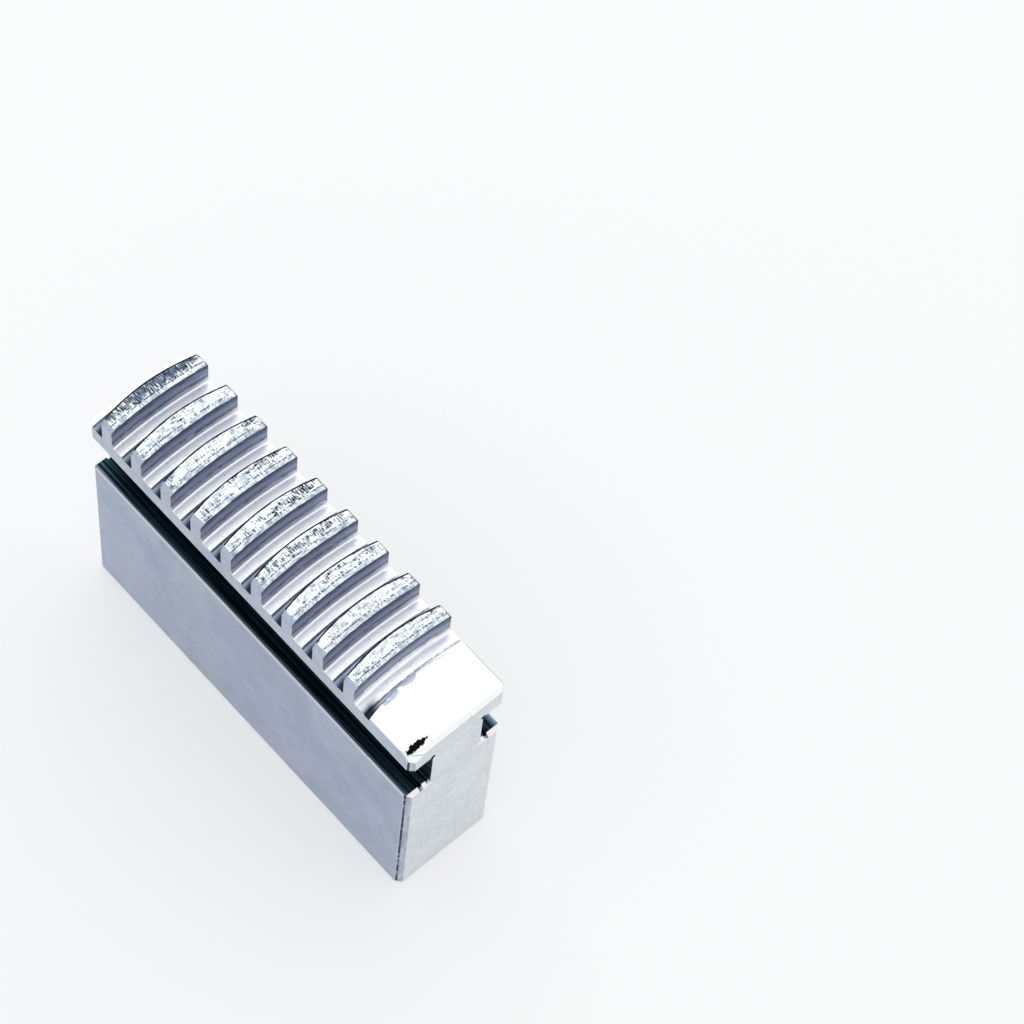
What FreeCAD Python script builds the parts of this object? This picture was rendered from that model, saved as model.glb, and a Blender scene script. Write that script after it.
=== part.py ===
import FreeCAD, Part
import math
import os

# Machinable soft jaw for a scroll chuck: one bar of steel.
# Frame: X runs along the guideway, from the gripping end (-X) to the outer end (+X),
# Y runs across the jaw, Z points up. The jaw stands on its machinable blank with the
# scroll teeth on top, and the origin is at the centre of the base.
# Sizes are in millimetres.

# Bar
length = 101.6
width = 25.75
blankHeight = 45.4          # solid metal below the guide grooves, machined to suit the work
cornerChamfer = 1.3         # upright corners of the bar
edgeBreak = 0.35            # long edges of the blank and of the tooth plate

# Guide grooves, one along each side
grooveHeight = 12.6
webWidth = 13.6             # metal left between the two grooves
cornerReliefRadius = 0.6    # undercut along the inner corners of each groove
reliefSlotWidth = 1.0       # narrow slot in the groove floor, beside the web
reliefSlotDepth = 1.2
reliefSlotInset = 1.6       # from the web to the slot
shoulderBevel = 0.9         # bevel on the ends of the groove floors

# Tooth plate and scroll teeth
plateThickness = 5.5        # from the groove roof to the plain land
toothCount = 9
toothPitch = 9.525
toothHeight = 5.8           # from the land to the crests
toothThickness = 3.3        # at the sides of the jaw, where a tooth is thinnest
firstFlank = 17.4           # from the gripping end to the first tooth, at the sides
concaveRadius = 115.0       # flank that faces the chuck's centre
convexRadius = 49.0         # flank that faces outwards
landLength = 12.7           # plain land at the gripping end, at the sides
floorDrop = 0.2             # tooth gaps below the land, first pass of the cutter
firstPassWidth = 3.0        # width of that pass, beside the concave flank
secondPassDrop = 0.5        # second pass below the first, beside the convex flank
passSlope = 0.4             # width of the slope from one pass to the other
concaveRootRadius = 0.8
convexRootRadius = 0.3

# Dressed edges of the teeth and of the land
crestBevelWidth = 1.1       # along the concave edge of each crest
crestBevelDrop = 0.4
leftEndBevel = 1.0          # crest ends on the +Y side
rightEndBevel = 0.4         # crest ends on the -Y side
crestEndDrop = 0.7
landBevelWidth = 1.2        # across the gripping end of the land
landBevelDrop = 0.7
dressedCornerLength = 3.6   # ground corner of the land, along X
dressedCornerWidth = 5.0    # along Y
dressedCornerDrop = 2.3     # along Z

# Worked out from the sizes above
gripEnd = -length / 2
outerEnd = length / 2
halfWidth = width / 2
grooveRoof = blankHeight + grooveHeight
landLevel = grooveRoof + plateThickness
crestLevel = landLevel + toothHeight
firstPassLevel = landLevel - floorDrop
secondPassLevel = firstPassLevel - secondPassDrop
clear = 1.0                 # how far cutters reach past the surfaces that they open


def prism(points, direction):
    """Solid with the outline given by the points, carried along the direction."""
    outline = [FreeCAD.Vector(*point) for point in points]
    return Part.Face(Part.makePolygon(outline + outline[:1])).extrude(FreeCAD.Vector(*direction))


def lengthwise(section):
    """Prism over the whole length of the bar, past both ends, from (y, z) points."""
    start = gripEnd - clear
    return prism([(start, y, z) for y, z in section], (length + 2 * clear, 0, 0))


def bar():
    """Upright bar with its four corners chamfered."""
    c = cornerChamfer
    plan = [
        (gripEnd + c, -halfWidth), (outerEnd - c, -halfWidth),
        (outerEnd, c - halfWidth), (outerEnd, halfWidth - c),
        (outerEnd - c, halfWidth), (gripEnd + c, halfWidth),
        (gripEnd, halfWidth - c), (gripEnd, c - halfWidth),
    ]
    return prism([(x, y, 0) for x, y in plan], (0, 0, crestLevel))


def edgeWedge(side, level, up):
    """Wedge that breaks one long edge of the bar; up is +1 for an edge below it, -1 above."""
    y = side * halfWidth
    b = edgeBreak
    return lengthwise([
        (y - side * b, level), (y + side * clear, level),
        (y + side * clear, level + up * (b + clear)), (y, level + up * b),
    ])


def grooveCutters(side):
    """Guide groove on one side, with its corner undercuts, floor slot and edge breaks."""
    web = side * webWidth / 2
    outside = side * (halfWidth + clear)
    slotNear = web + side * reliefSlotInset
    slotFar = slotNear + side * reliefSlotWidth
    groove = lengthwise([
        (web, grooveRoof), (web, blankHeight),
        (slotNear, blankHeight), (slotNear, blankHeight - reliefSlotDepth),
        (slotFar, blankHeight - reliefSlotDepth), (slotFar, blankHeight),
        (outside, blankHeight), (outside, grooveRoof),
    ])
    undercuts = [
        Part.makeCylinder(
            cornerReliefRadius, length + 2 * clear,
            FreeCAD.Vector(gripEnd - clear, web, z), FreeCAD.Vector(1, 0, 0))
        for z in (blankHeight, grooveRoof)
    ]
    breaks = [edgeWedge(side, 0, 1), edgeWedge(side, blankHeight, -1), edgeWedge(side, grooveRoof, 1)]
    return [groove] + undercuts + breaks


def shoulderBevels(side):
    """Bevels where the groove floor meets the two end faces."""
    b = shoulderBevel
    web = side * webWidth / 2
    cutters = []
    for end, inwards in ((gripEnd, 1), (outerEnd, -1)):
        outline = [
            (end + inwards * b, web, blankHeight), (end - inwards * clear, web, blankHeight),
            (end - inwards * clear, web, blankHeight - b - clear), (end, web, blankHeight - b),
        ]
        cutters.append(prism(outline, (0, side * (halfWidth - webWidth / 2 + clear), 0)))
    return cutters


def chordDistance(radius):
    """From the centre of an arc to the line between its ends on the two sides of the jaw."""
    return math.sqrt(radius ** 2 - halfWidth ** 2)


def arcCentre(sidePoint, radius):
    """Centre on the jaw's centreline of an arc that bulges outwards and meets the sides at sidePoint."""
    return sidePoint - chordDistance(radius)


def ring(profile, centreX, radius):
    """Part of a turned ring, wide enough for the jaw, from edges of (radius, z) points about centreX."""
    halfSweep = math.degrees(math.asin((halfWidth + clear) / radius)) * 1.3
    axis = FreeCAD.Vector(centreX, 0, 0)
    upwards = FreeCAD.Vector(0, 0, 1)
    edges = []
    for step in profile:
        points = [FreeCAD.Vector(centreX + r, 0, z) for r, z in step]
        if len(points) == 3:
            edges.append(Part.Arc(*points).toShape())
        else:
            edges.append(Part.LineSegment(*points).toShape())
    face = Part.Face(Part.Wire(edges))
    face.rotate(axis, upwards, -halfSweep)
    return face.revolve(axis, upwards, 2 * halfSweep)


def rootArc(flankRadius, floorLevel, root, inwards):
    """Three points of the root radius between a floor and an upright flank."""
    centre = flankRadius - inwards * root
    slant = root * math.sqrt(0.5)
    return [
        (centre, floorLevel),
        (centre + inwards * slant, floorLevel + root - slant),
        (flankRadius, floorLevel + root),
    ]


def concaveSide(sidePoint):
    """Space swept on the inner side of a concave flank, with both floor passes below it."""
    top = crestLevel + clear
    outer = concaveRadius
    inner = outer - 2 * toothPitch
    passEdge = outer - firstPassWidth
    root = rootArc(outer, firstPassLevel, concaveRootRadius, 1)
    profile = [
        [(outer, top), (inner, top)],
        [(inner, top), (inner, secondPassLevel)],
        [(inner, secondPassLevel), (passEdge - passSlope, secondPassLevel)],
        [(passEdge - passSlope, secondPassLevel), (passEdge, firstPassLevel)],
        [(passEdge, firstPassLevel), root[0]],
        root,
        [root[2], (outer, top)],
    ]
    return ring(profile, arcCentre(sidePoint, concaveRadius), inner)


def convexSide(sidePoint):
    """Space swept on the outer side of a convex flank, down to the second floor pass."""
    top = crestLevel + clear
    outer = convexRadius + 2 * toothPitch
    root = rootArc(convexRadius, secondPassLevel, convexRootRadius, -1)
    profile = [
        [(convexRadius, top), root[2]],
        root[::-1],
        [root[0], (outer, secondPassLevel)],
        [(outer, secondPassLevel), (outer, top)],
        [(outer, top), (convexRadius, top)],
    ]
    return ring(profile, arcCentre(sidePoint, convexRadius), convexRadius)


def concaveFlankAt(index):
    """Where the concave flank of a tooth meets the sides; tooth 0 is next to the land."""
    return gripEnd + firstFlank + index * toothPitch


def toothGap(index):
    """Gap on the inner side of a tooth, back to the tooth before it or to the land."""
    if index == 0:
        back = gripEnd + landLength
    else:
        back = concaveFlankAt(index - 1) + toothThickness
    return convexSide(back).common(concaveSide(concaveFlankAt(index)))


def landClearance():
    """Metal removed over the land, up to the root of the first concave flank."""
    top = crestLevel + clear
    outer = concaveRadius - concaveRootRadius
    inner = chordDistance(concaveRadius) - firstFlank - clear
    profile = [
        [(outer, top), (inner, top)],
        [(inner, top), (inner, landLevel)],
        [(inner, landLevel), (outer, landLevel)],
        [(outer, landLevel), (outer, top)],
    ]
    return ring(profile, arcCentre(concaveFlankAt(0), concaveRadius), inner)


def crestBevel(index):
    """Shallow bevel along the concave edge of one crest."""
    slope = crestBevelDrop / crestBevelWidth
    top = crestLevel + clear
    start = concaveRadius - concaveRootRadius
    end = concaveRadius + crestBevelWidth
    low = crestLevel - slope * (end - start)
    profile = [
        [(start, top), (start, low)],
        [(start, low), (end, crestLevel)],
        [(end, crestLevel), (end, top)],
        [(end, top), (start, top)],
    ]
    return ring(profile, arcCentre(concaveFlankAt(index), concaveRadius), start)


def crestEndBevel(side, inset):
    """Bevel over the ends of all the crests on one side."""
    slope = crestEndDrop / inset
    inner = side * (halfWidth - inset)
    outer = side * (halfWidth + clear)
    return lengthwise([
        (inner, crestLevel), (outer, crestLevel - slope * (inset + clear)),
        (outer, crestLevel + clear), (inner, crestLevel + clear),
    ])


def landBevel():
    """Bevel across the gripping end of the land."""
    slope = landBevelDrop / landBevelWidth
    y = -halfWidth - clear
    outline = [
        (gripEnd + landBevelWidth, y, landLevel),
        (gripEnd - clear, y, landLevel - slope * (landBevelWidth + clear)),
        (gripEnd - clear, y, landLevel + clear),
        (gripEnd + landBevelWidth, y, landLevel + clear),
    ]
    return prism(outline, (0, width + 2 * clear, 0))


def dressedCorner():
    """Corner of the land that has been ground away, on the +Y side of the gripping end."""
    onLength = FreeCAD.Vector(gripEnd + dressedCornerLength, halfWidth, landLevel)
    onWidth = FreeCAD.Vector(gripEnd, halfWidth - dressedCornerWidth, landLevel)
    below = FreeCAD.Vector(gripEnd, halfWidth, landLevel - dressedCornerDrop)
    beyond = FreeCAD.Vector(gripEnd - 2 * clear, halfWidth + 2 * clear, landLevel + 2 * clear)
    corners = (onLength, onWidth, below, beyond)
    faces = []
    for leftOut in corners:
        triangle = [corner for corner in corners if corner is not leftOut]
        faces.append(Part.Face(Part.makePolygon(triangle + triangle[:1])))
    return Part.makeSolid(Part.makeShell(faces))


def softJaw():
    """The whole jaw: bar, guide grooves, land, scroll teeth and dressed edges."""
    cutters = [landClearance(), landBevel(), dressedCorner()]
    for side in (-1, 1):
        cutters += grooveCutters(side) + shoulderBevels(side)
    cutters += [toothGap(index) for index in range(toothCount + 1)]
    jaw = bar().cut(cutters)
    dressing = [crestBevel(index) for index in range(toothCount)]
    dressing += [crestEndBevel(1, leftEndBevel), crestEndBevel(-1, rightEndBevel)]
    return jaw.cut(dressing).removeSplitter()


os.makedirs("parts", exist_ok=True)
jaw = softJaw()
jaw.exportStep("parts/soft_jaw.step")
box = jaw.optimalBoundingBox(False)
print("soft_jaw: solids %d, valid %s" % (len(jaw.Solids), jaw.isValid()))
print("box %.2f x %.2f x %.2f mm, volume %.0f mm3" % (box.XLength, box.YLength, box.ZLength, jaw.Volume))
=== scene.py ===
import math

import bmesh
import bpy
import numpy as np
from mathutils import Matrix, Quaternion, Vector
from mathutils.geometry import delaunay_2d_cdt


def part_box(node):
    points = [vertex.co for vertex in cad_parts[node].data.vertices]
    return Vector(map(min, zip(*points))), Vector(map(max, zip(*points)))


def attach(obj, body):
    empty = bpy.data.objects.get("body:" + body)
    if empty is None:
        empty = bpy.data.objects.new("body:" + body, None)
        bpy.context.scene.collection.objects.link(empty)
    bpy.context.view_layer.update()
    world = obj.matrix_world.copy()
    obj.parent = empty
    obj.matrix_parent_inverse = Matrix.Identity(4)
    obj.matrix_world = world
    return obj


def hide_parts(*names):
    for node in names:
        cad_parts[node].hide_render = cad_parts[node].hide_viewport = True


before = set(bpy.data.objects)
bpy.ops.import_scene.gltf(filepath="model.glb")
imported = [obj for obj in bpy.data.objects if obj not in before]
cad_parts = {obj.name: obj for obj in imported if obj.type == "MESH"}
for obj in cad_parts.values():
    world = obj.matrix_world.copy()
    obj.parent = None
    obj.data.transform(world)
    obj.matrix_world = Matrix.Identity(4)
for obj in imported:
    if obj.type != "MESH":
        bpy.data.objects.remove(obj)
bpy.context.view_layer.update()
scene = bpy.context.scene
print("frame loaded:", len(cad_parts), "node")

# Sizes are in millimetres until a mesh is made.
# X runs along the jaw from the gripping end, Y across it, Z up to the teeth.
jaw = {
    "toothCount": 9,
    "toothPitch": 9.525,
    "toothThickness": 3.3,      # at the sides
    "toothHeight": 5.8,
    "firstFlank": 17.4,         # from the gripping end, at the sides
    "concaveRadius": 115.0,
    "convexRadius": 49.0,
    "landLength": 12.7,
    "firstPassDrop": 0.2,       # floor of a gap below the land
    "secondPassDrop": 0.5,
    "firstPassWidth": 3.0,
    "passSlope": 0.4,
    "concaveRoot": 0.8,
    "convexRoot": 0.3,
    "crestBevelWidth": 1.1,
    "crestBevelDrop": 0.4,
    "leftEndBevel": 1.0,
    "rightEndBevel": 0.4,
    "crestEndDrop": 0.7,
    "landBevelWidth": 1.2,
    "landBevelDrop": 0.7,
    "dressedCorner": (3.6, 5.0, 2.3),   # ground off along X, Y and Z
    "plateThickness": 5.5,
    "grooveHeight": 12.6,
    "webWidth": 13.6,
    "undercutRadius": 0.6,
    "slot": (1.6, 1.0, 1.2),    # from the web, width, depth
    "shoulderBevel": 0.9,
    "cornerChamfer": 1.3,
    "edgeBreak": 0.35,
    "rim": 0.07,                # rounding where faces meet
    "columns": 104,             # across the teeth
    "sharpFrom": 32,            # degrees between faces
}

low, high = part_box("soft_jaw")
gripEnd, outerEnd = low.x * 1000, high.x * 1000
halfWidth = high.y * 1000
crestLevel = high.z * 1000
landLevel = crestLevel - jaw["toothHeight"]
firstPass = landLevel - jaw["firstPassDrop"]
secondPass = firstPass - jaw["secondPassDrop"]
grooveRoof = landLevel - jaw["plateThickness"]
blankHeight = grooveRoof - jaw["grooveHeight"]
joinLevel = grooveRoof + 2.5    # the tooth plate's sides start here

zones = ["crest", "bevel", "nearFlank", "floor", "farFlank", "land", "plateSide", "groove",
         "blankSide", "endFace", "corner", "base"]


def sag(y, radius):
    # how far an arc over the whole width stands out at y, past its ends on the sides: the root of
    # radius squared less y squared, less the same root at the sides
    return np.sqrt(radius ** 2 - y ** 2) - math.sqrt(radius ** 2 - halfWidth ** 2)


def cornerInset(y):
    # how far the chamfered corners of the bar draw an end in at y
    return np.maximum(0, np.abs(y) - (halfWidth - jaw["cornerChamfer"]))


def concaveFlank(index, y):
    return gripEnd + jaw["firstFlank"] + index * jaw["toothPitch"] + sag(y, jaw["concaveRadius"])


def convexFlank(index, y):
    if index < 0:
        side = gripEnd + jaw["landLength"]
    else:
        side = gripEnd + jaw["firstFlank"] + index * jaw["toothPitch"] + jaw["toothThickness"]
    return side + sag(y, jaw["convexRadius"])


def toothRows(y):
    # Rows of the toothed top, from the gripping end to the outer end. Each row is x(y) and z(y) on
    # the whole width: an arc of one flank moved along X by a fixed amount, or a mix of two such arcs
    # for what lies between them. Also gives each row's zone and lean, and the place of its points:
    # from the concave flank, tooth, from the convex flank.
    xs, zs, names, facing, refs = [], [], [], [], []
    rim = jaw["rim"]
    ones = np.ones_like(y)

    def add(x, z, zone, lean=0):
        # lean is how far the row's surface is turned from upwards, in degrees towards +X
        xs.append(x)
        zs.append(z * ones)
        names.append(zone)
        facing.append(lean)
        refs.append((flank, back, index))

    def between(xa, xb, z, zone, count, first=0.0, last=1.0):
        for t in np.linspace(first, last, count):
            add(xa + (xb - xa) * t, z, zone)

    index = 0
    flank, back = concaveFlank(0, y), convexFlank(-1, y)
    end = gripEnd + cornerInset(y)
    bevelLow = landLevel - jaw["landBevelDrop"]
    bevelEnd = end + jaw["landBevelWidth"]
    add(end, bevelLow - rim, "land")
    add(end + rim * 0.3, bevelLow - rim * 0.3, "land")
    add(end + rim, bevelLow + rim * 0.5, "land")
    between(end + 0.2, bevelEnd - 0.1, landLevel, "land", 6)
    between(bevelEnd, back - rim, landLevel, "land", 52)
    for index in range(jaw["toothCount"] + 1):
        top = landLevel if index == 0 else crestLevel
        wall = "floor" if index == 0 else "farFlank"
        add(back - rim * 0.3, top - rim * 0.3, wall, 45)
        add(back, top - rim, wall, 90)
        root = jaw["convexRoot"]
        flank = concaveFlank(index, y)
        if index > 0:
            for t in np.linspace(0.12, 1, 8):
                add(back, top - rim + (secondPass + root - top + rim) * t, wall, 90)
        for lean in (68, 45, 22, 0):
            a = math.radians(lean)
            add(back + root * (1 - math.sin(a)), secondPass + root * (1 - math.cos(a)), "floor", lean)
        passEdge = flank - jaw["firstPassWidth"] - jaw["passSlope"]
        if index == jaw["toothCount"]:
            stop = outerEnd - cornerInset(y)
            shallow = np.minimum(passEdge, stop - 0.6)
            between(back + root, shallow, secondPass, "floor", 8, 0.1)
            between(shallow + jaw["passSlope"], stop - rim, firstPass, "floor", 4)
            add(stop, firstPass - rim, "floor", 90)
            break
        between(back + root, passEdge - 0.05, secondPass, "floor", 8, 0.1)
        add(passEdge + 0.06, secondPass + 0.05, "floor")
        add(passEdge + jaw["passSlope"] - 0.06, firstPass - 0.05, "floor")
        root = jaw["concaveRoot"]
        between(passEdge + jaw["passSlope"] + 0.05, flank - root, firstPass, "floor", 8)
        for lean in (12, 24, 36, 48, 60, 75, 90):
            a = math.radians(lean)
            zone = "floor" if lean < 50 else "nearFlank"
            add(flank - root * (1 - math.sin(a)), firstPass + root * (1 - math.cos(a)), zone, -lean)
        bevelFoot = crestLevel - jaw["crestBevelDrop"]
        for t in np.linspace(0.1, 1, 10):
            add(flank, firstPass + root + (bevelFoot - rim - firstPass - root) * t, "nearFlank", -90)
        add(flank + rim * 0.3, bevelFoot - rim * 0.3, "bevel", -45)
        bevelTop = flank + jaw["crestBevelWidth"]
        for t in (0.1, 0.4, 0.7, 0.93):
            add(flank + (bevelTop - flank) * t, bevelFoot + jaw["crestBevelDrop"] * t, "bevel")
        back = convexFlank(index, y)
        between(bevelTop + 0.08, back - rim, crestLevel, "crest", 14)
    x = np.array(xs)
    fromConcave = x - np.array([r[0] for r in refs])
    fromConvex = np.abs(x - np.array([r[1] for r in refs]))
    tooth = np.broadcast_to(np.array([r[2] for r in refs])[:, None], x.shape)
    place = np.stack((fromConcave, tooth * ones, fromConvex), -1)
    return x, np.array(zs), names, np.radians(facing), place


def dressed(x, y, z):
    # hand-dressed places: the lowest of the surface, the bevelled crest ends, the bevel across the
    # land's end and the plane ground off the land's corner
    left = crestLevel - jaw["crestEndDrop"] * (y - halfWidth + jaw["leftEndBevel"]) / jaw["leftEndBevel"]
    right = crestLevel - jaw["crestEndDrop"] * (-y - halfWidth + jaw["rightEndBevel"]) / jaw["rightEndBevel"]
    z = np.minimum(z, np.minimum(left, right))
    slope = jaw["landBevelDrop"] / jaw["landBevelWidth"]
    z = np.minimum(z, landLevel - slope * (gripEnd + jaw["landBevelWidth"] - x) + 100 * (x > gripEnd + 3))
    a, b, c = jaw["dressedCorner"]
    cut = 1 - (x - gripEnd) / a - (halfWidth - y) / b
    return np.where(x < gripEnd + 6, np.minimum(z, landLevel - c * cut), z)


def roundedPath(corners, steps=4):
    # straight runs between (y, z, radius) corners, each turned by an arc of its radius
    points = [np.array(corners[0][:2])]
    for before, corner, after in zip(corners, corners[1:], corners[2:]):
        p = np.array(corner[:2])
        u = np.array(before[:2]) - p
        v = np.array(after[:2]) - p
        u, v = u / np.linalg.norm(u), v / np.linalg.norm(v)
        if corner[2] == 0:
            points.append(p)
            continue
        half = math.acos(np.clip(u @ v, -1, 1)) / 2
        reach = corner[2] / math.tan(half)
        a, b = p + u * reach, p + v * reach
        centre = p + (u + v) / np.linalg.norm(u + v) * corner[2] / math.sin(half)
        for t in np.linspace(0, 1, steps):
            q = a + (b - a) * t - centre
            points.append(centre + q / np.linalg.norm(q) * corner[2])
    points.append(np.array(corners[-1][:2]))
    return np.array(points)


def section():
    # Outline of the bar under the tooth plate, from joinLevel on the +Y side, down and round to
    # joinLevel on the -Y side: y and z, the zone of each run, and where a point is on a groove floor.
    b = jaw["edgeBreak"]
    web = jaw["webWidth"] / 2
    cut = jaw["undercutRadius"]
    slotNear = web + jaw["slot"][0]
    slotFar = slotNear + jaw["slot"][1]
    slotLevel = blankHeight - jaw["slot"][2]

    def undercut(z, angles):
        return [(web + cut * math.cos(a), z + cut * math.sin(a), 0) for a in np.radians(angles)]

    corners = [(halfWidth, joinLevel, 0), (halfWidth, grooveRoof + b, 0.2), (halfWidth - b, grooveRoof, 0.1)]
    corners += undercut(grooveRoof, (0, 30, 60, 90, 120, 150, 180, 210, 240, 270))
    corners += undercut(blankHeight, (90, 120, 150, 180, 210, 240, 270, 300, 330, 360))
    corners += [
        (slotNear, blankHeight, 0.1), (slotNear, slotLevel, 0.06), (slotFar, slotLevel, 0.06),
        (slotFar, blankHeight, 0.1), (halfWidth - b, blankHeight, 0.15), (halfWidth, blankHeight - b, 0.15),
        (halfWidth, b, 0.2), (halfWidth - b, 0, 0.2), (0, 0, 0),
    ]
    half = roundedPath(corners)
    y = np.concatenate((half[:, 0], -half[-2::-1, 0]))
    z = np.concatenate((half[:, 1], half[-2::-1, 1]))
    floor = (np.abs(y) > web) & (z > slotLevel - 0.01) & (z < blankHeight + 0.001)
    middle = (z[1:] + z[:-1]) / 2
    outside = np.minimum(np.abs(y[1:]), np.abs(y[:-1])) > halfWidth - b - 0.01
    zone = np.where(outside & (middle > grooveRoof), "plateSide", "groove")
    zone = np.where(outside & (middle < blankHeight), "blankSide", zone)
    zone = np.where(middle < 0.05, "base", zone)
    return y, z, zone, floor


def outwards(y, z):
    # unit normals of a path in its own plane, to the left of its run
    dy, dz = np.gradient(y), np.gradient(z)
    size = np.maximum(np.hypot(dy, dz), 1e-9)
    return -dz / size, dy / size


# how worn the crests are: tooth counted from the land, centre and reach across the jaw,
# centre and reach from the concave edge, strength
wornPlaces = [
    (8, 0, 16, 3.6, 1.6, 0.9), (8, -6, 7, 2.6, 2.0, 0.6), (8, 4, 10, 2.2, 1.4, 0.6),
    (7, 0, 4, 2.6, 1.2, 0.4), (7, -11, 3, 3.4, 1.4, 0.5), (7, 11, 2, 1.6, 1.0, 0.3),
    (6, -10, 2.2, 3.0, 1.3, 0.8), (6, 0, 8, 2.4, 1.0, 0.25), (6, 11.5, 1.5, 1.5, 1.0, 0.5),
    (5, -8, 5.5, 3.4, 1.5, 0.8), (5, 2, 5, 3.6, 0.9, 0.4), (5, 9, 3, 1.5, 1.2, 0.4),
    (4, -5, 7, 2.2, 1.2, 0.75), (4, -10, 3, 3.2, 1.3, 0.6), (4, 7, 5, 1.4, 1.0, 0.55),
    (3, 1, 8, 2.5, 1.1, 0.85), (3, -8, 3, 2.6, 1.2, 0.5), (3, 10, 3, 2.2, 1.4, 0.5),
    (2, -1, 5, 2.7, 1.2, 0.6), (2, -9.5, 3, 2.2, 1.3, 0.6), (2, 8, 4, 1.5, 0.8, 0.3),
    (1, -11, 1.8, 3.0, 1.3, 0.8), (1, -3, 4, 3.0, 1.4, 0.2), (1, 9, 4, 1.4, 0.7, 0.4),
    (0, -10, 3.5, 2.8, 1.5, 0.5), (0, 7, 5, 1.4, 0.9, 0.45), (0, -2, 3, 3.2, 1.0, 0.25),
]


def wornness(y, tooth, fromConcave):
    # the sum over the worn places of strength times e to the minus squared distance, where distance
    # is counted in reaches
    places = np.array(wornPlaces, float).T[:, :, None]
    spread = ((y - places[1]) / places[2]) ** 2 + ((fromConcave - places[3]) / places[4]) ** 2
    return (places[5] * np.exp(-spread) * (np.abs(tooth - places[0]) < 0.1)).sum(0)


def jawMesh():
    # The top is a grid of toothRows by columns. The bar is its section carried along X, each point
    # drawn in by what the chamfered corners take there. Flat faces close what lies between them.
    rim = jaw["rim"]
    # columns across the teeth, gathered at the bevels and corners of the ends
    keys = [jaw["leftEndBevel"], jaw["cornerChamfer"]]
    left = halfWidth - np.array([0, rim, 0.35, 0.7, *keys, 1.6])
    right = -halfWidth + np.array([1.6, jaw["cornerChamfer"], 0.9, jaw["rightEndBevel"], 0.2, rim, 0])
    y = np.concatenate((left, np.linspace(left[-1], right[0], jaw["columns"])[1:-1], right))
    x, z, names, facing, place = toothRows(y)
    yy = np.broadcast_to(y, x.shape).copy()
    z = dressed(x, yy, z)
    for edge, inner in ((0, 1), (-1, -2)):
        x[1:-1, edge] = (x[:, inner] - np.sin(facing) * rim)[1:-1]
        z[:, edge] = np.minimum(z[:, inner] - np.cos(facing) * rim, z[:, inner].max() - rim)
    inset = jaw["cornerChamfer"]
    for edge in (0, -1):
        x[:, edge] = np.clip(x[:, edge], gripEnd + inset, outerEnd - inset)
    rows, columns = x.shape
    top = np.stack((x, yy, z), -1).reshape(-1, 3)
    grid = np.arange(rows * columns).reshape(rows, columns)

    # the bar: its section carried along X, drawn in at both ends
    sy, sz, sectionZone, onFloor = section()
    ny, nz = outwards(sy, sz)
    bevel = jaw["shoulderBevel"]
    stations = [(0, inset + rim * 0.4, rim), (rim, inset - rim * 0.6, 0), (bevel, inset - bevel, 0),
                (inset, 0, 0), (inset + 1.5, 0, 0)]
    along = [(gripEnd + d, c, e) for d, c, e in stations]
    along += [(v, 0, 0) for v in np.linspace(gripEnd + 8, outerEnd - 8, 9)]
    along += [(outerEnd - d, c, e) for d, c, e in reversed(stations)]
    bar = []
    for v, drawn, shrink in along:
        fromEnd = min(v - gripEnd, outerEnd - v)
        by = np.clip(sy - ny * shrink, drawn - halfWidth, halfWidth - drawn)
        bz = sz - nz * shrink
        bz[[0, -1]] = joinLevel
        bz = np.where(onFloor, np.minimum(bz, blankHeight - bevel + fromEnd), bz)
        bar.append(np.stack((np.full_like(by, v), by, bz), -1))
    bar = np.concatenate(bar)
    wide = len(sy)
    tube = len(top) + np.arange(len(along) * wide).reshape(len(along), wide)
    points = np.concatenate((top, bar))
    place = np.concatenate((place.reshape(-1, 3), np.zeros_like(bar)))

    def quads(block):
        return np.stack((block[:-1, :-1], block[1:, :-1], block[1:, 1:], block[:-1, 1:]), -1)

    topQuads = quads(grid)[:, :, ::-1]
    topZone = np.array([zones.index(name) for name in names])[1:]
    barQuads = quads(tube)
    barZone = np.array([zones.index(name) for name in sectionZone])
    barZones = np.broadcast_to(barZone, barQuads.shape[:2]).copy()
    sides = np.isin(barZone, [zones.index("plateSide"), zones.index("blankSide")])
    barZones[:3, sides] = zones.index("corner")
    barZones[-3:, sides] = zones.index("corner")
    faces = topQuads.reshape(-1, 4).tolist() + barQuads.reshape(-1, 4).tolist()
    zone = np.repeat(topZone, columns - 1).tolist() + barZones.reshape(-1).tolist()

    # closing faces: both sides of the tooth plate, the ends and the corners between them
    def close(loop, across, zoneName):
        # fills a flat loop of points with triangles, seen along the axis that is left out of across
        flat = [Vector(points[k][list(across)]) for k in loop]
        found = delaunay_2d_cdt(flat, [], [list(range(len(flat)))], 1, 1e-7)
        faces.extend([int(loop[found[3][k][0]]) for k in triangle] for triangle in found[2])
        zone.extend([zones.index(zoneName)] * len(found[2]))

    inner = np.flatnonzero(np.abs(y) <= halfWidth - inset + 1e-6)
    full = [k for k, (v, drawn, shrink) in enumerate(along) if drawn == 0]
    first, last = full[0], full[-1]
    leftCorner, rightCorner = np.arange(inner[0] + 1), np.arange(inner[-1], columns)
    close(np.concatenate((grid[:, 0], tube[full, 0][::-1])), (0, 2), "plateSide")
    close(np.concatenate((grid[:, -1], tube[full, -1][::-1])), (0, 2), "plateSide")
    close(np.concatenate((grid[0, leftCorner], tube[:first + 1, 0])), (1, 2), "corner")
    close(np.concatenate((grid[0, rightCorner], tube[:first + 1, -1][::-1])), (1, 2), "corner")
    close(np.concatenate((grid[-1, leftCorner], tube[last:, 0][::-1])), (1, 2), "corner")
    close(np.concatenate((grid[-1, rightCorner], tube[last:, -1])), (1, 2), "corner")
    close(np.concatenate((grid[0, inner], tube[0][::-1])), (1, 2), "endFace")
    close(np.concatenate((grid[-1, inner], tube[-1][::-1])), (1, 2), "endFace")

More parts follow.
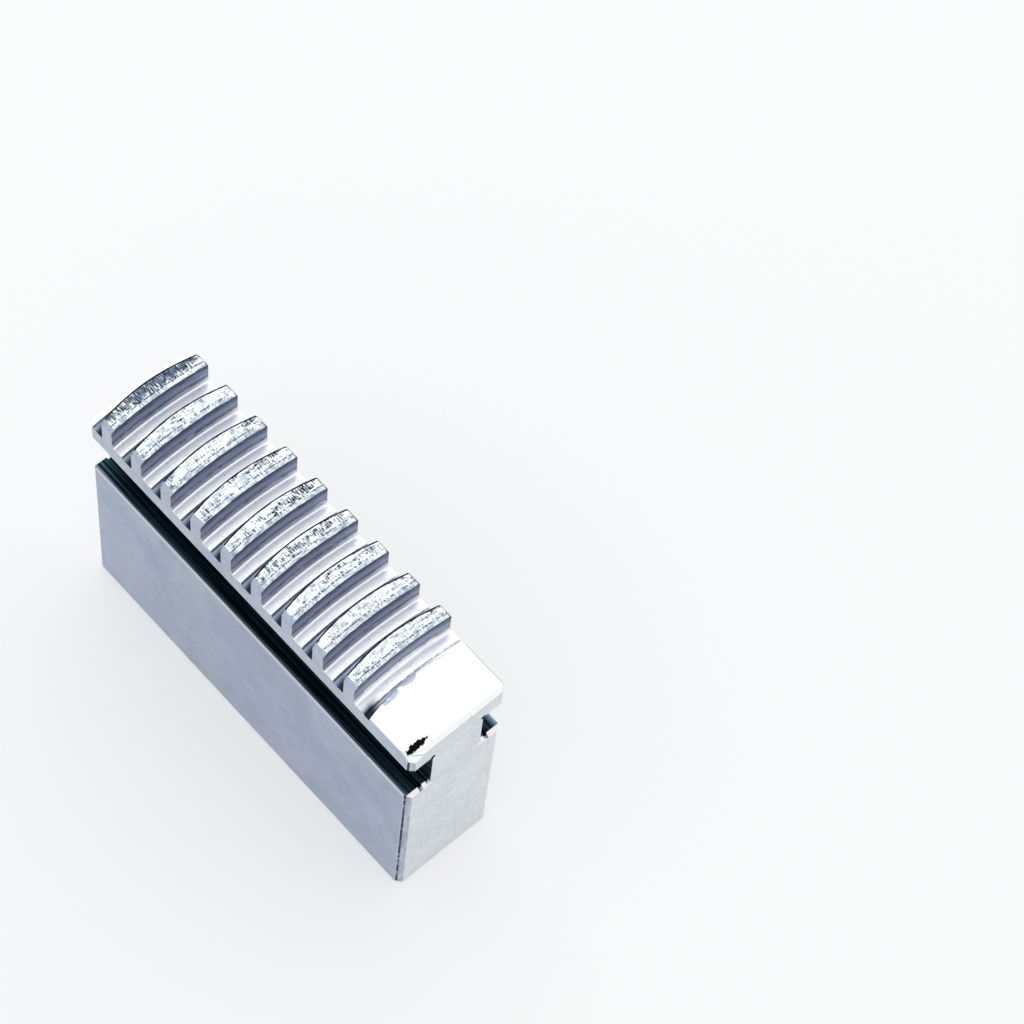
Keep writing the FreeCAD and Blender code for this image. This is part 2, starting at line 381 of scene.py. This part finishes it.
    mesh = bpy.data.meshes.new("softJawDressed")
    mesh.from_pydata((points / 1000).tolist(), [], faces)
    mesh.polygons.foreach_set("material_index", np.array(zone, np.int32))
    mesh.polygons.foreach_set("use_smooth", np.ones(len(faces), bool))
    placed = mesh.attributes.new("place", "FLOAT_VECTOR", "POINT")
    placed.data.foreach_set("vector", place.astype(np.float32).ravel())
    wear = wornness(points[:, 1], place[:, 1], place[:, 0])
    worn = mesh.attributes.new("wear", "FLOAT", "POINT")
    worn.data.foreach_set("value", wear.astype(np.float32))
    mesh.update()
    return mesh


mesh = jawMesh()
work = bmesh.new()
work.from_mesh(mesh)
bmesh.ops.remove_doubles(work, verts=work.verts, dist=1e-6)
bmesh.ops.recalc_face_normals(work, faces=work.faces)
print("jaw:", len(work.faces), "faces,", sum(not edge.is_manifold for edge in work.edges), "open edges")
work.to_mesh(mesh)
work.free()
mesh.set_sharp_from_angle(angle=math.radians(jaw["sharpFrom"]))
softJaw = bpy.data.objects.new("softJawDressed", mesh)
scene.collection.objects.link(softJaw)
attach(softJaw, "root")
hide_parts("soft_jaw")


def shade(r, g, b):
    # a paint-chart colour from 0 to 255, as the linear colour that the shader wants
    c = np.array((r, g, b)) / 255
    c = np.where(c > 0.04045, ((c + 0.055) / 1.055) ** 2.4, c / 12.92)
    return (*c.tolist(), 1.0)


def put(tree, kind, *inputs, **settings):
    made = tree.nodes.new(kind)
    for name, value in settings.items():
        setattr(made, name, value)
    for socket, value in zip(made.inputs, inputs):
        if isinstance(value, bpy.types.NodeSocket):
            tree.links.new(value, socket)
        elif value is not None:
            socket.default_value = value
    return made.outputs[0]


def maths(tree, operation, *values):
    return put(tree, "ShaderNodeMath", *values, operation=operation)


def step(tree, value, start, end):
    # 0 before start and 1 after end, smooth between them
    return put(tree, "ShaderNodeMapRange", value, start, end, 0.0, 1.0, interpolation_type="SMOOTHSTEP")


def both(tree, *masks):
    made = masks[0]
    for mask in masks[1:]:
        made = maths(tree, "MULTIPLY", made, mask)
    return made


def scaled(tree, vector, by, moved=(0, 0, 0)):
    return put(tree, "ShaderNodeVectorMath", vector, by, moved, operation="MULTIPLY_ADD")


def noise(tree, vector, detail=2.0, distortion=0.0):
    made = put(tree, "ShaderNodeTexNoise", vector).node
    made.inputs["Scale"].default_value = 1.0
    made.inputs["Detail"].default_value = detail
    made.inputs["Distortion"].default_value = distortion
    return made.outputs[0]


def mixed(tree, factor, first, second):
    made = tree.nodes.new("ShaderNodeMix")
    made.data_type = "RGBA"
    for slot, value in ((0, factor), (6, first), (7, second)):
        if isinstance(value, bpy.types.NodeSocket):
            tree.links.new(value, made.inputs[slot])
        else:
            made.inputs[slot].default_value = value
    return made.outputs[2]


def ramp(tree, value, stops):
    made = tree.nodes.new("ShaderNodeValToRGB")
    elements = made.color_ramp.elements
    for place, colour in stops[2:]:
        elements.new(place)
    for element, (place, colour) in zip(elements, sorted(stops)):
        element.position = place
        element.color = colour
    tree.links.new(value, made.inputs[0])
    return made.outputs[0]


def parts(tree, vector):
    made = put(tree, "ShaderNodeSeparateXYZ", vector).node
    return made.outputs[0], made.outputs[1], made.outputs[2]


def steel(name):
    # A new steel: its node tree, its shader, the place on the object in millimetres, and the place
    # on the toothed top (from the concave flank, tooth, from the convex flank).
    made = bpy.data.materials.new(name)
    made.use_nodes = True
    tree = made.node_tree
    shader = tree.nodes["Principled BSDF"]
    shader.inputs["Metallic"].default_value = 1.0
    spot = tree.nodes.new("ShaderNodeTexCoord").outputs["Object"]
    spot = put(tree, "ShaderNodeVectorMath", spot, (1000, 1000, 1000), operation="MULTIPLY")
    place = tree.nodes.new("ShaderNodeAttribute")
    place.attribute_name = "place"
    return made, tree, shader, spot, place.outputs["Vector"]


def finishWith(tree, shader, colour, relief, depth, smooth, rough):
    # colour, bump of the given depth in millimetres, and roughness between two values
    tree.links.new(colour, shader.inputs["Base Color"])
    bump = tree.nodes.new("ShaderNodeBump")
    bump.inputs["Strength"].default_value = 1.0
    bump.inputs["Distance"].default_value = depth / 1000
    tree.links.new(relief, bump.inputs["Height"])
    tree.links.new(bump.outputs[0], shader.inputs["Normal"])
    gloss = put(tree, "ShaderNodeMapRange", relief, 0.0, 1.0, smooth, rough)
    tree.links.new(gloss, shader.inputs["Roughness"])


crestMarksAndShade = {
    "bright": shade(240, 244, 246),
    "grey": shade(186, 198, 214),
    "tick": shade(66, 84, 112),
    "deepTick": shade(24, 44, 56),
    # the edge colour is painted shadow of the far flank, along the convex edge
    "edge": shade(18, 26, 38),
    "boundary": shade(84, 100, 130),
    # the two end colours are painted shade on the bevelled ends of the crest
    "leftEndShade": shade(168, 182, 202),
    "rightEndShade": shade(46, 56, 72),
    # grain to the millimetre: from the concave edge, across the jaw, and for each tooth
    "toneGrain": (0.9, 0.5, 3.7),
    "tickGrain": (0.8, 6.5, 9.1),
    "rowGrain": (2.1, 0.55, 5.3),
    "dotGrain": (0.3, 2.6, 7.7),
    "wanderGrain": (0.2, 0.5, 2.9),
    # where each pattern begins and where it is full
    "greyFrom": (0.42, 0.68),
    "fineTicks": (0.47, 0.58),
    "fineRows": (0.38, 0.56),
    "strongTicks": (0.44, 0.54),
    "strongRows": (0.68, 0.84),
    "stainFrom": (0.82, 1.0),
    "dotsFrom": (0.42, 0.5),
    # how much of each shows, and what wear adds to it
    "fineShare": 0.62,
    "stainShare": 0.7,
    "wearOnTicks": 0.55,
    "wearOnStain": 0.4,
    # lines along the edges, in millimetres
    "bevelLine": (0.2, 0.08),
    "concaveLine": (0.36, 0.22),
    # the convex line is the painted shadow along the far edge
    "convexShadowLine": (0.62, 0.46),
    "wander": 0.3,
    "tickDepth": 0.03,
    "roughness": (0.5, 0.34),   # in the ticks and beside them
}


def crestSteel():
    f = crestMarksAndShade
    made, tree, shader, spot, place = steel("crestSteel")
    fromConcave, tooth, fromConvex = parts(tree, place)
    x, y, z = parts(tree, spot)
    wear = tree.nodes.new("ShaderNodeAttribute")
    wear.attribute_name = "wear"
    wear = wear.outputs["Fac"]
    along = put(tree, "ShaderNodeCombineXYZ", fromConcave, y, tooth)
    # broad tone
    tone = noise(tree, scaled(tree, along, f["toneGrain"]), 3)
    colour = mixed(tree, step(tree, tone, *f["greyFrom"]), f["bright"], f["grey"])
    # short ticks left across the crest by the cutter, in rows that follow the edge
    ticks = noise(tree, scaled(tree, along, f["tickGrain"]), 1.5, 0.25)
    rows = noise(tree, scaled(tree, along, f["rowGrain"]), 1)
    fine = both(tree, step(tree, ticks, *f["fineTicks"]), step(tree, rows, *f["fineRows"]))
    colour = mixed(tree, both(tree, fine, f["fineShare"]), colour, f["tick"])
    strongRows = maths(tree, "ADD", rows, maths(tree, "MULTIPLY", wear, f["wearOnTicks"]))
    strong = both(tree, step(tree, ticks, *f["strongTicks"]), step(tree, strongRows, *f["strongRows"]))
    colour = mixed(tree, strong, colour, f["deepTick"])
    stain = maths(tree, "ADD", tone, maths(tree, "MULTIPLY", wear, f["wearOnStain"]))
    stain = step(tree, stain, *f["stainFrom"])
    colour = mixed(tree, both(tree, stain, f["stainShare"]), colour, f["tick"])
    # dotted line where the bevel ends
    dots = noise(tree, scaled(tree, along, f["dotGrain"]), 1)
    line = maths(tree, "ABSOLUTE", maths(tree, "SUBTRACT", fromConcave, jaw["crestBevelWidth"]))
    line = both(tree, step(tree, line, *f["bevelLine"]), step(tree, dots, *f["dotsFrom"]))
    colour = mixed(tree, line, colour, f["boundary"])
    # dark edges: the concave one broken, the convex one a full line of painted shadow, where the far flank
    # falls away out of the light
    wander = noise(tree, scaled(tree, along, f["wanderGrain"]), 2)
    wander = maths(tree, "MULTIPLY", wander, f["wander"])
    near = step(tree, maths(tree, "ADD", fromConcave, wander), *f["concaveLine"])
    colour = mixed(tree, near, colour, f["boundary"])
    farShadow = step(tree, maths(tree, "ADD", fromConvex, wander), *f["convexShadowLine"])
    farShadow = both(tree, farShadow, step(tree, fromConcave, 1.0, 1.4))
    colour = mixed(tree, farShadow, colour, f["edge"])
    # bevelled ends of the crest, painted in shade: blue-grey at the left end and dark at the right
    left = step(tree, y, halfWidth - 1.05, halfWidth - 0.95)
    colour = mixed(tree, both(tree, left, 0.9), colour, f["leftEndShade"])
    right = step(tree, y, 0.45 - halfWidth, 0.35 - halfWidth)
    colour = mixed(tree, both(tree, right, 0.8), colour, f["rightEndShade"])
    relief = maths(tree, "SUBTRACT", 1.0, maths(tree, "MAXIMUM", fine, strong))
    finishWith(tree, shader, colour, relief, f["tickDepth"], *f["roughness"])
    return made


flankShadeAndMarks = {
    # painted shade and reflection: the flank's colour goes by height, pale at the foot and darkest just
    # under the crest
    "shadeLevels": [     # height over the first pass of the floor, colour
        (0.6, shade(236, 237, 242)), (1.0, shade(186, 190, 206)), (1.5, shade(112, 120, 150)),
        (2.3, shade(146, 154, 184)), (3.0, shade(146, 156, 186)), (3.9, shade(116, 132, 164)),
        (4.7, shade(66, 84, 112)), (5.2, shade(56, 68, 92)), (5.55, shade(124, 130, 152)),
    ],
    "speck": shade(30, 34, 46),
    "pale": shade(186, 192, 212),
    "streakGrain": (0.4, 0.22, 1.4),
    "fineGrain": (1.2, 1.6, 7.0),
    "dotGrain": (0.7, 0.9, 0.3),
    "streakReach": 3.2,         # how far the streaks carry the levels up and down
    "paleShare": 0.5,
    "topShare": 0.75,
    "footShare": 0.7,
    "footLevel": 1.25,
    "grainDepth": 0.02,
    "roughness": (0.36, 0.5),
}


def flankSteel():
    f = flankShadeAndMarks
    made, tree, shader, spot, place = steel("flankSteel")
    x, y, z = parts(tree, spot)
    streaks = noise(tree, scaled(tree, spot, f["streakGrain"]), 3, 0.6)
    fine = noise(tree, scaled(tree, spot, f["fineGrain"]), 3)
    # painted shade and reflection by height on the flank, carried up and down by the streaks
    height = maths(tree, "SUBTRACT", z, firstPass)
    carried = maths(tree, "MULTIPLY", maths(tree, "SUBTRACT", streaks, 0.5), f["streakReach"])
    height = maths(tree, "ADD", height, carried)
    reach = 6.0     # height of the whole ramp
    level = put(tree, "ShaderNodeMapRange", height, 0.0, reach, 0.0, 1.0)
    colour = ramp(tree, level, [(at / reach, tone) for at, tone in f["shadeLevels"]])
    colour = mixed(tree, both(tree, step(tree, fine, 0.52, 0.68), f["paleShare"]), colour, f["pale"])
    # dark line along the top edge and broken one at the foot
    top = step(tree, maths(tree, "SUBTRACT", z, crestLevel), -0.78, -0.55)
    colour = mixed(tree, both(tree, top, f["topShare"]), colour, f["speck"])
    foot = maths(tree, "ABSOLUTE", maths(tree, "SUBTRACT", z, firstPass + f["footLevel"]))
    dots = noise(tree, scaled(tree, spot, f["dotGrain"]), 2)
    foot = both(tree, step(tree, foot, 0.35, 0.1), step(tree, dots, 0.5, 0.62), f["footShare"])
    colour = mixed(tree, foot, colour, f["speck"])
    finishWith(tree, shader, colour, fine, f["grainDepth"], *f["roughness"])
    return made


gapMarksAndShade = {
    "bright": shade(247, 248, 250),
    "grey": shade(206, 212, 224),
    # the second colour is painted shade on the second pass
    "second": shade(150, 160, 184),
    "line": shade(120, 134, 156),
    # the deep colour is painted shadow, for the convex foot at the left
    "paintedShadow": shade(28, 44, 54),
    "speck": shade(96, 98, 116),
    "grain": (1.6, 0.25, 1.0),
    "speckGrain": (2.6, 2.2, 1.0),
    "lineGrain": (0.3, 0.8, 0.3),
    "lineAt": 3.15,             # before the concave flank
    "lineShare": 0.55,
    "grainDepth": 0.015,
    "roughness": (0.3, 0.45),
}


def gapSteel():
    f = gapMarksAndShade
    made, tree, shader, spot, place = steel("gapSteel")
    fromConcave, tooth, fromConvex = parts(tree, place)
    x, y, z = parts(tree, spot)
    grain = noise(tree, scaled(tree, spot, f["grain"]), 3)
    colour = mixed(tree, both(tree, step(tree, grain, 0.55, 0.8), 0.5), f["bright"], f["grey"])
    specks = noise(tree, scaled(tree, spot, f["speckGrain"]), 1)
    colour = mixed(tree, both(tree, step(tree, specks, 0.73, 0.77), 0.7), colour, f["speck"])
    # the second pass, painted shade: blue-grey at the left, fading to the right, behind a thin line
    fade = step(tree, maths(tree, "ADD", y, maths(tree, "MULTIPLY", grain, 6.0)), -4.0, 15.0)
    fade = maths(tree, "MULTIPLY_ADD", fade, 0.85, 0.12)
    second = both(tree, step(tree, fromConcave, -2.9, -3.3), fade)
    colour = mixed(tree, second, colour, f["second"])
    line = maths(tree, "ABSOLUTE", maths(tree, "ADD", fromConcave, f["lineAt"]))
    broken = noise(tree, scaled(tree, spot, f["lineGrain"]), 2)
    line = both(tree, step(tree, line, 0.22, 0.06), step(tree, broken, 0.36, 0.56), f["lineShare"])
    colour = mixed(tree, line, colour, f["line"])
    # painted shadow: dark near the convex foot at the left
    paintedShadow = step(tree, y, halfWidth - 5.5, halfWidth - 1.5)
    paintedShadow = both(tree, step(tree, fromConvex, 3.2, 1.2), paintedShadow)
    colour = mixed(tree, paintedShadow, colour, f["paintedShadow"])
    finishWith(tree, shader, colour, grain, f["grainDepth"], *f["roughness"])
    return made


landFinish = {
    "bright": shade(246, 249, 248),
    "grain": shade(206, 220, 221),
    "stain": shade(128, 142, 176),
    "rust": shade(206, 160, 128),
    "smear": shade(22, 12, 20),
    "rightRim": shade(60, 64, 86),
    "endLine": shade(150, 142, 162),
    "smearPlace": (-48.5, 9.5, 3.3, 0.95),     # centre in X and Y, half length, half width
    "rustPlace": (-36.6, 10.6, 1.5, 0.7),
    "stains": [(-37.1, 5.9, 1.9, 0.95), (-36.8, 1.2, 2.3, 0.8), (-37.5, 7.9, 1.1, 0.7)],
}


def landSteel():
    f = landFinish
    made, tree, shader, spot, place = steel("landSteel")
    x, y, z = parts(tree, spot)
    lengthGrain = noise(tree, scaled(tree, spot, (0.12, 2.4, 0.2)), 2)
    crossGrain = noise(tree, scaled(tree, spot, (2.4, 0.12, 0.2)), 2)
    grid = maths(tree, "MAXIMUM", step(tree, lengthGrain, 0.56, 0.72), step(tree, crossGrain, 0.56, 0.72))
    patches = step(tree, noise(tree, scaled(tree, spot, (0.5, 0.5, 0.5)), 2), 0.4, 0.65)
    colour = mixed(tree, both(tree, grid, patches, 0.8), f["bright"], f["grain"])
    ragged = noise(tree, scaled(tree, spot, (1.6, 1.6, 1.6)), 3)

    def patch(place, roughEdge):
        # 1 inside an oval with a ragged edge, 0 outside it
        cx, cy, halfY, halfX = place
        dx = maths(tree, "DIVIDE", maths(tree, "SUBTRACT", x, cx), halfX)
        dy = maths(tree, "DIVIDE", maths(tree, "SUBTRACT", y, cy), halfY)
        away = maths(tree, "ADD", maths(tree, "POWER", dx, 2.0), maths(tree, "POWER", dy, 2.0))
        away = maths(tree, "MULTIPLY_ADD", ragged, roughEdge, maths(tree, "SQRT", away))
        return step(tree, away, 1.0 + roughEdge * 0.45, 0.8 + roughEdge * 0.45)

    for place in f["stains"]:
        colour = mixed(tree, both(tree, patch(place, 1.6), 0.75), colour, f["stain"])
    colour = mixed(tree, both(tree, patch(f["rustPlace"], 1.4), 0.5), colour, f["rust"])
    colour = mixed(tree, patch(f["smearPlace"], 1.3), colour, f["smear"])
    rim = step(tree, y, halfWidth - 0.45, halfWidth - 0.15)
    colour = mixed(tree, both(tree, rim, 0.6), colour, f["stain"])
    rim = step(tree, y, 0.3 - halfWidth, 0.1 - halfWidth)
    colour = mixed(tree, both(tree, rim, 0.7), colour, f["rightRim"])
    # thin line along the foot of the end's bevel
    edge = maths(tree, "ABSOLUTE", maths(tree, "SUBTRACT", z, landLevel - jaw["landBevelDrop"]))
    edge = both(tree, step(tree, edge, 0.09, 0.03), step(tree, x, -48.0, -50.0), 0.6)
    colour = mixed(tree, edge, colour, f["endLine"])
    finishWith(tree, shader, colour, crossGrain, 0.01, 0.3, 0.42)
    return made


faceShadesAndMarks = {
    # painted light and shade: one steel given a lighter or darker pair of tones on each face by how the
    # light falls, the end face lightest and the sides darker
    "plate": (shade(198, 205, 218), shade(176, 184, 202)),
    "blank": (shade(182, 191, 208), shade(164, 174, 195)),
    "end": (shade(228, 233, 236), shade(214, 221, 227)),
    "corner": (shade(196, 204, 218), shade(160, 170, 192)),
    "base": (shade(186, 194, 208), shade(160, 170, 188)),
    # the light line is a painted highlight along the plate's bottom edge
    "edgeHighlight": shade(226, 250, 252),
    "darkLine": shade(28, 44, 48),
    "redSpeck": shade(150, 70, 84),
}


def plainSteel(name, tones, grainBy):
    made, tree, shader, spot, place = steel(name)
    grain = noise(tree, scaled(tree, spot, grainBy), 3)
    cloud = noise(tree, scaled(tree, spot, (0.12, 0.12, 0.12)), 3)
    tone = maths(tree, "MULTIPLY_ADD", grain, 0.6, maths(tree, "MULTIPLY", cloud, 0.4))
    # the face's pair of tones is painted light or shade for that face
    colour = mixed(tree, step(tree, tone, 0.36, 0.64), *tones)
    return made, tree, shader, spot, grain, colour


def plateSideSteel():
    made, tree, shader, spot, grain, colour = plainSteel(
        "plateSideSteel", faceShadesAndMarks["plate"], (0.8, 0.8, 2.2))
    x, y, z = parts(tree, spot)
    # painted highlight along the foot of the plate's side
    low = step(tree, z, grooveRoof + 0.75, grooveRoof + 0.45)
    colour = mixed(tree, both(tree, low, 0.85), colour, faceShadesAndMarks["edgeHighlight"])
    specks = step(tree, noise(tree, scaled(tree, spot, (1.1, 1.1, 1.1)), 1), 0.74, 0.78)
    colour = mixed(tree, both(tree, specks, 0.6), colour, faceShadesAndMarks["redSpeck"])
    finishWith(tree, shader, colour, grain, 0.01, 0.4, 0.5)
    return made


def blankSteel():
    made, tree, shader, spot, grain, colour = plainSteel("blankSteel", faceShadesAndMarks["blank"], (0.35, 1.0, 2.6))
    x, y, z = parts(tree, spot)
    # painted highlight just under the top edge of the blank's side
    blankEdgeHighlight = both(tree, step(tree, z, blankHeight - 0.8, blankHeight - 0.55), 0.8)
    colour = mixed(tree, blankEdgeHighlight, colour, shade(206, 204, 212))
    specks = step(tree, noise(tree, scaled(tree, spot, (0.9, 0.9, 0.9)), 1), 0.76, 0.80)
    colour = mixed(tree, both(tree, specks, 0.35), colour, faceShadesAndMarks["redSpeck"])
    finishWith(tree, shader, colour, grain, 0.012, 0.4, 0.52)
    return made


def endSteel():
    made, tree, shader, spot, grain, colour = plainSteel("endSteel", faceShadesAndMarks["end"], (1.0, 0.8, 0.8))
    specks = step(tree, noise(tree, scaled(tree, spot, (1.3, 1.3, 1.3)), 1), 0.72, 0.78)
    colour = mixed(tree, both(tree, specks, 0.4), colour, shade(150, 150, 160))
    finishWith(tree, shader, colour, grain, 0.01, 0.42, 0.52)
    return made


def cornerSteel():
    made, tree, shader, spot, grain, colour = plainSteel(
        "cornerSteel", faceShadesAndMarks["corner"], (1.2, 1.2, 0.35))
    x, y, z = parts(tree, spot)
    side = maths(tree, "SUBTRACT", halfWidth, maths(tree, "ABSOLUTE", y))
    dashes = noise(tree, scaled(tree, spot, (0.1, 0.1, 0.55)), 3)
    line = maths(tree, "ABSOLUTE", maths(tree, "SUBTRACT", side, 0.28))
    line = both(tree, step(tree, line, 0.24, 0.1), step(tree, dashes, 0.3, 0.5))
    colour = mixed(tree, line, colour, faceShadesAndMarks["darkLine"])
    # painted highlight: lighter right along the side edge
    colour = mixed(tree, step(tree, side, 0.12, 0.04), colour, shade(210, 218, 228))
    finishWith(tree, shader, colour, grain, 0.01, 0.4, 0.5)
    return made


def baseSteel():
    made, tree, shader, spot, grain, colour = plainSteel("baseSteel", faceShadesAndMarks["base"], (0.3, 2.2, 1.0))
    finishWith(tree, shader, colour, grain, 0.01, 0.4, 0.5)
    return made


# painted shade: the groove lies under the tooth plate, so its colours are dark teal shade, with darker
# streaks along X
grooveShade = {
    "paintedShadow": shade(14, 34, 40),
    "teal": shade(66, 98, 112),
    "line": shade(6, 12, 16),
    # the shoulder colour is painted light on the shoulder's outer strip
    "shoulderLight": shade(120, 128, 158),
}


def grooveSteel():
    f = grooveShade
    made, tree, shader, spot, place = steel("grooveSteel")
    x, y, z = parts(tree, spot)
    # painted shade: dark teal, streaked along X
    lines = noise(tree, scaled(tree, spot, (0.03, 1.9, 1.9)), 3)
    colour = mixed(tree, step(tree, lines, 0.4, 0.62), f["paintedShadow"], f["teal"])
    dark = noise(tree, scaled(tree, spot, (0.02, 2.9, 2.9), (7, 0, 0)), 1)
    colour = mixed(tree, both(tree, step(tree, dark, 0.58, 0.64), 0.8), colour, f["line"])
    # painted light: the outer strip of the shoulder is lighter, where light reaches in under the plate's
    # edge
    outer = step(tree, maths(tree, "ABSOLUTE", y), halfWidth - 1.0, halfWidth - 0.6)
    outer = both(tree, outer, step(tree, z, blankHeight + 0.5, blankHeight + 0.2))
    colour = mixed(tree, both(tree, outer, 0.9), colour, f["shoulderLight"])
    # bevelled ends of the groove floor, painted near white as a highlight
    fromEnd = maths(tree, "SUBTRACT", outerEnd, maths(tree, "ABSOLUTE", x))
    bevel = both(tree, step(tree, fromEnd, jaw["shoulderBevel"] + 0.05, jaw["shoulderBevel"] - 0.05),
                 step(tree, z, blankHeight + 0.1, blankHeight + 0.02))
    colour = mixed(tree, bevel, colour, shade(244, 240, 246))
    finishWith(tree, shader, colour, lines, 0.03, 0.36, 0.5)
    return made


# the maker of each zone's finish; the bevel and the far flank share a neighbour's
finishes = {
    "crest": crestSteel, "bevel": None, "nearFlank": flankSteel, "floor": gapSteel, "farFlank": None,
    "land": landSteel, "plateSide": plateSideSteel, "groove": grooveSteel, "blankSide": blankSteel,
    "endFace": endSteel, "corner": cornerSteel, "base": baseSteel,
}
steels = {zone: build() for zone, build in finishes.items() if build}
steels["bevel"], steels["farFlank"] = steels["crest"], steels["nearFlank"]
for zone in zones:
    mesh.materials.append(steels[zone])
print("finishes made:", len(mesh.materials))

# floor and light
studio = {
    "floorColour": shade(196, 197, 198),
    "floorHalf": 3.0,           # metres
    "floorGap": 0.0002,
    "floorGlow": 0.44,          # seen by the eye and in gloss only, so that the floor looks white
    "keyPower": 1.0,            # watts
    "keySize": 0.7,             # metres
    "keyPlace": (0.25, -0.20, 0.75),
    "sky": 0.82,
    "cameraPlace": (-0.2372, 0.21298, 0.67147),
    "cameraTurn": (0.4012, 0.0680, -0.2382, -0.8818),   # quaternion, W first
    "lens": 118.22,
}


def seenDirectly(tree):
    # 1 for the eye, in gloss and through glass
    path = tree.nodes.new("ShaderNodeLightPath").outputs
    clear = maths(tree, "MAXIMUM", path["Is Glossy Ray"], path["Is Transmission Ray"])
    return maths(tree, "MAXIMUM", path["Is Camera Ray"], clear)


def addFloor():
    made = bpy.data.meshes.new("floor")
    level = low.z - studio["floorGap"]
    half = studio["floorHalf"]
    corners = [(-half, -half, level), (half, -half, level), (half, half, level), (-half, half, level)]
    made.from_pydata(corners, [], [(0, 1, 2, 3)])
    finish = bpy.data.materials.new("paper")
    finish.use_nodes = True
    tree = finish.node_tree
    shader = tree.nodes["Principled BSDF"]
    shader.inputs["Roughness"].default_value = 0.9
    shader.inputs["Specular IOR Level"].default_value = 0.0
    shader.inputs["Base Color"].default_value = studio["floorColour"]
    shader.inputs["Emission Color"].default_value = (1, 1, 1, 1)
    glow = maths(tree, "MULTIPLY", seenDirectly(tree), studio["floorGlow"])
    tree.links.new(glow, shader.inputs["Emission Strength"])
    made.materials.append(finish)
    floor = bpy.data.objects.new("floor", made)
    scene.collection.objects.link(floor)


def addLight():
    world = bpy.data.worlds.new("studio")
    scene.world = world
    world.use_nodes = True
    tree = world.node_tree
    sky = tree.nodes["Background"]
    sky.inputs["Color"].default_value = (1, 1, 1, 1)
    # white to the eye, in gloss and through glass, and a plain level for everything else
    level = put(tree, "ShaderNodeMapRange", seenDirectly(tree), 0.0, 1.0, studio["sky"], 1.0)
    tree.links.new(level, sky.inputs["Strength"])
    lamp = bpy.data.lights.new("key", "AREA")
    lamp.energy = studio["keyPower"]
    lamp.size = studio["keySize"]
    key = bpy.data.objects.new("key", lamp)
    key.location = studio["keyPlace"]
    key.rotation_euler = (-key.location).to_track_quat("-Z", "Y").to_euler()
    scene.collection.objects.link(key)


def addCamera():
    view = bpy.data.cameras.new("camera")
    view.lens = studio["lens"]
    view.sensor_width = 36
    view.clip_end = 20
    camera = bpy.data.objects.new("camera", view)
    turn = Quaternion(studio["cameraTurn"]).to_matrix().to_4x4()
    camera.matrix_world = Matrix.Translation(studio["cameraPlace"]) @ turn
    scene.collection.objects.link(camera)
    scene.camera = camera


addFloor()
addLight()
addCamera()
scene.view_settings.view_transform = "Standard"
print("floor, light and camera set")
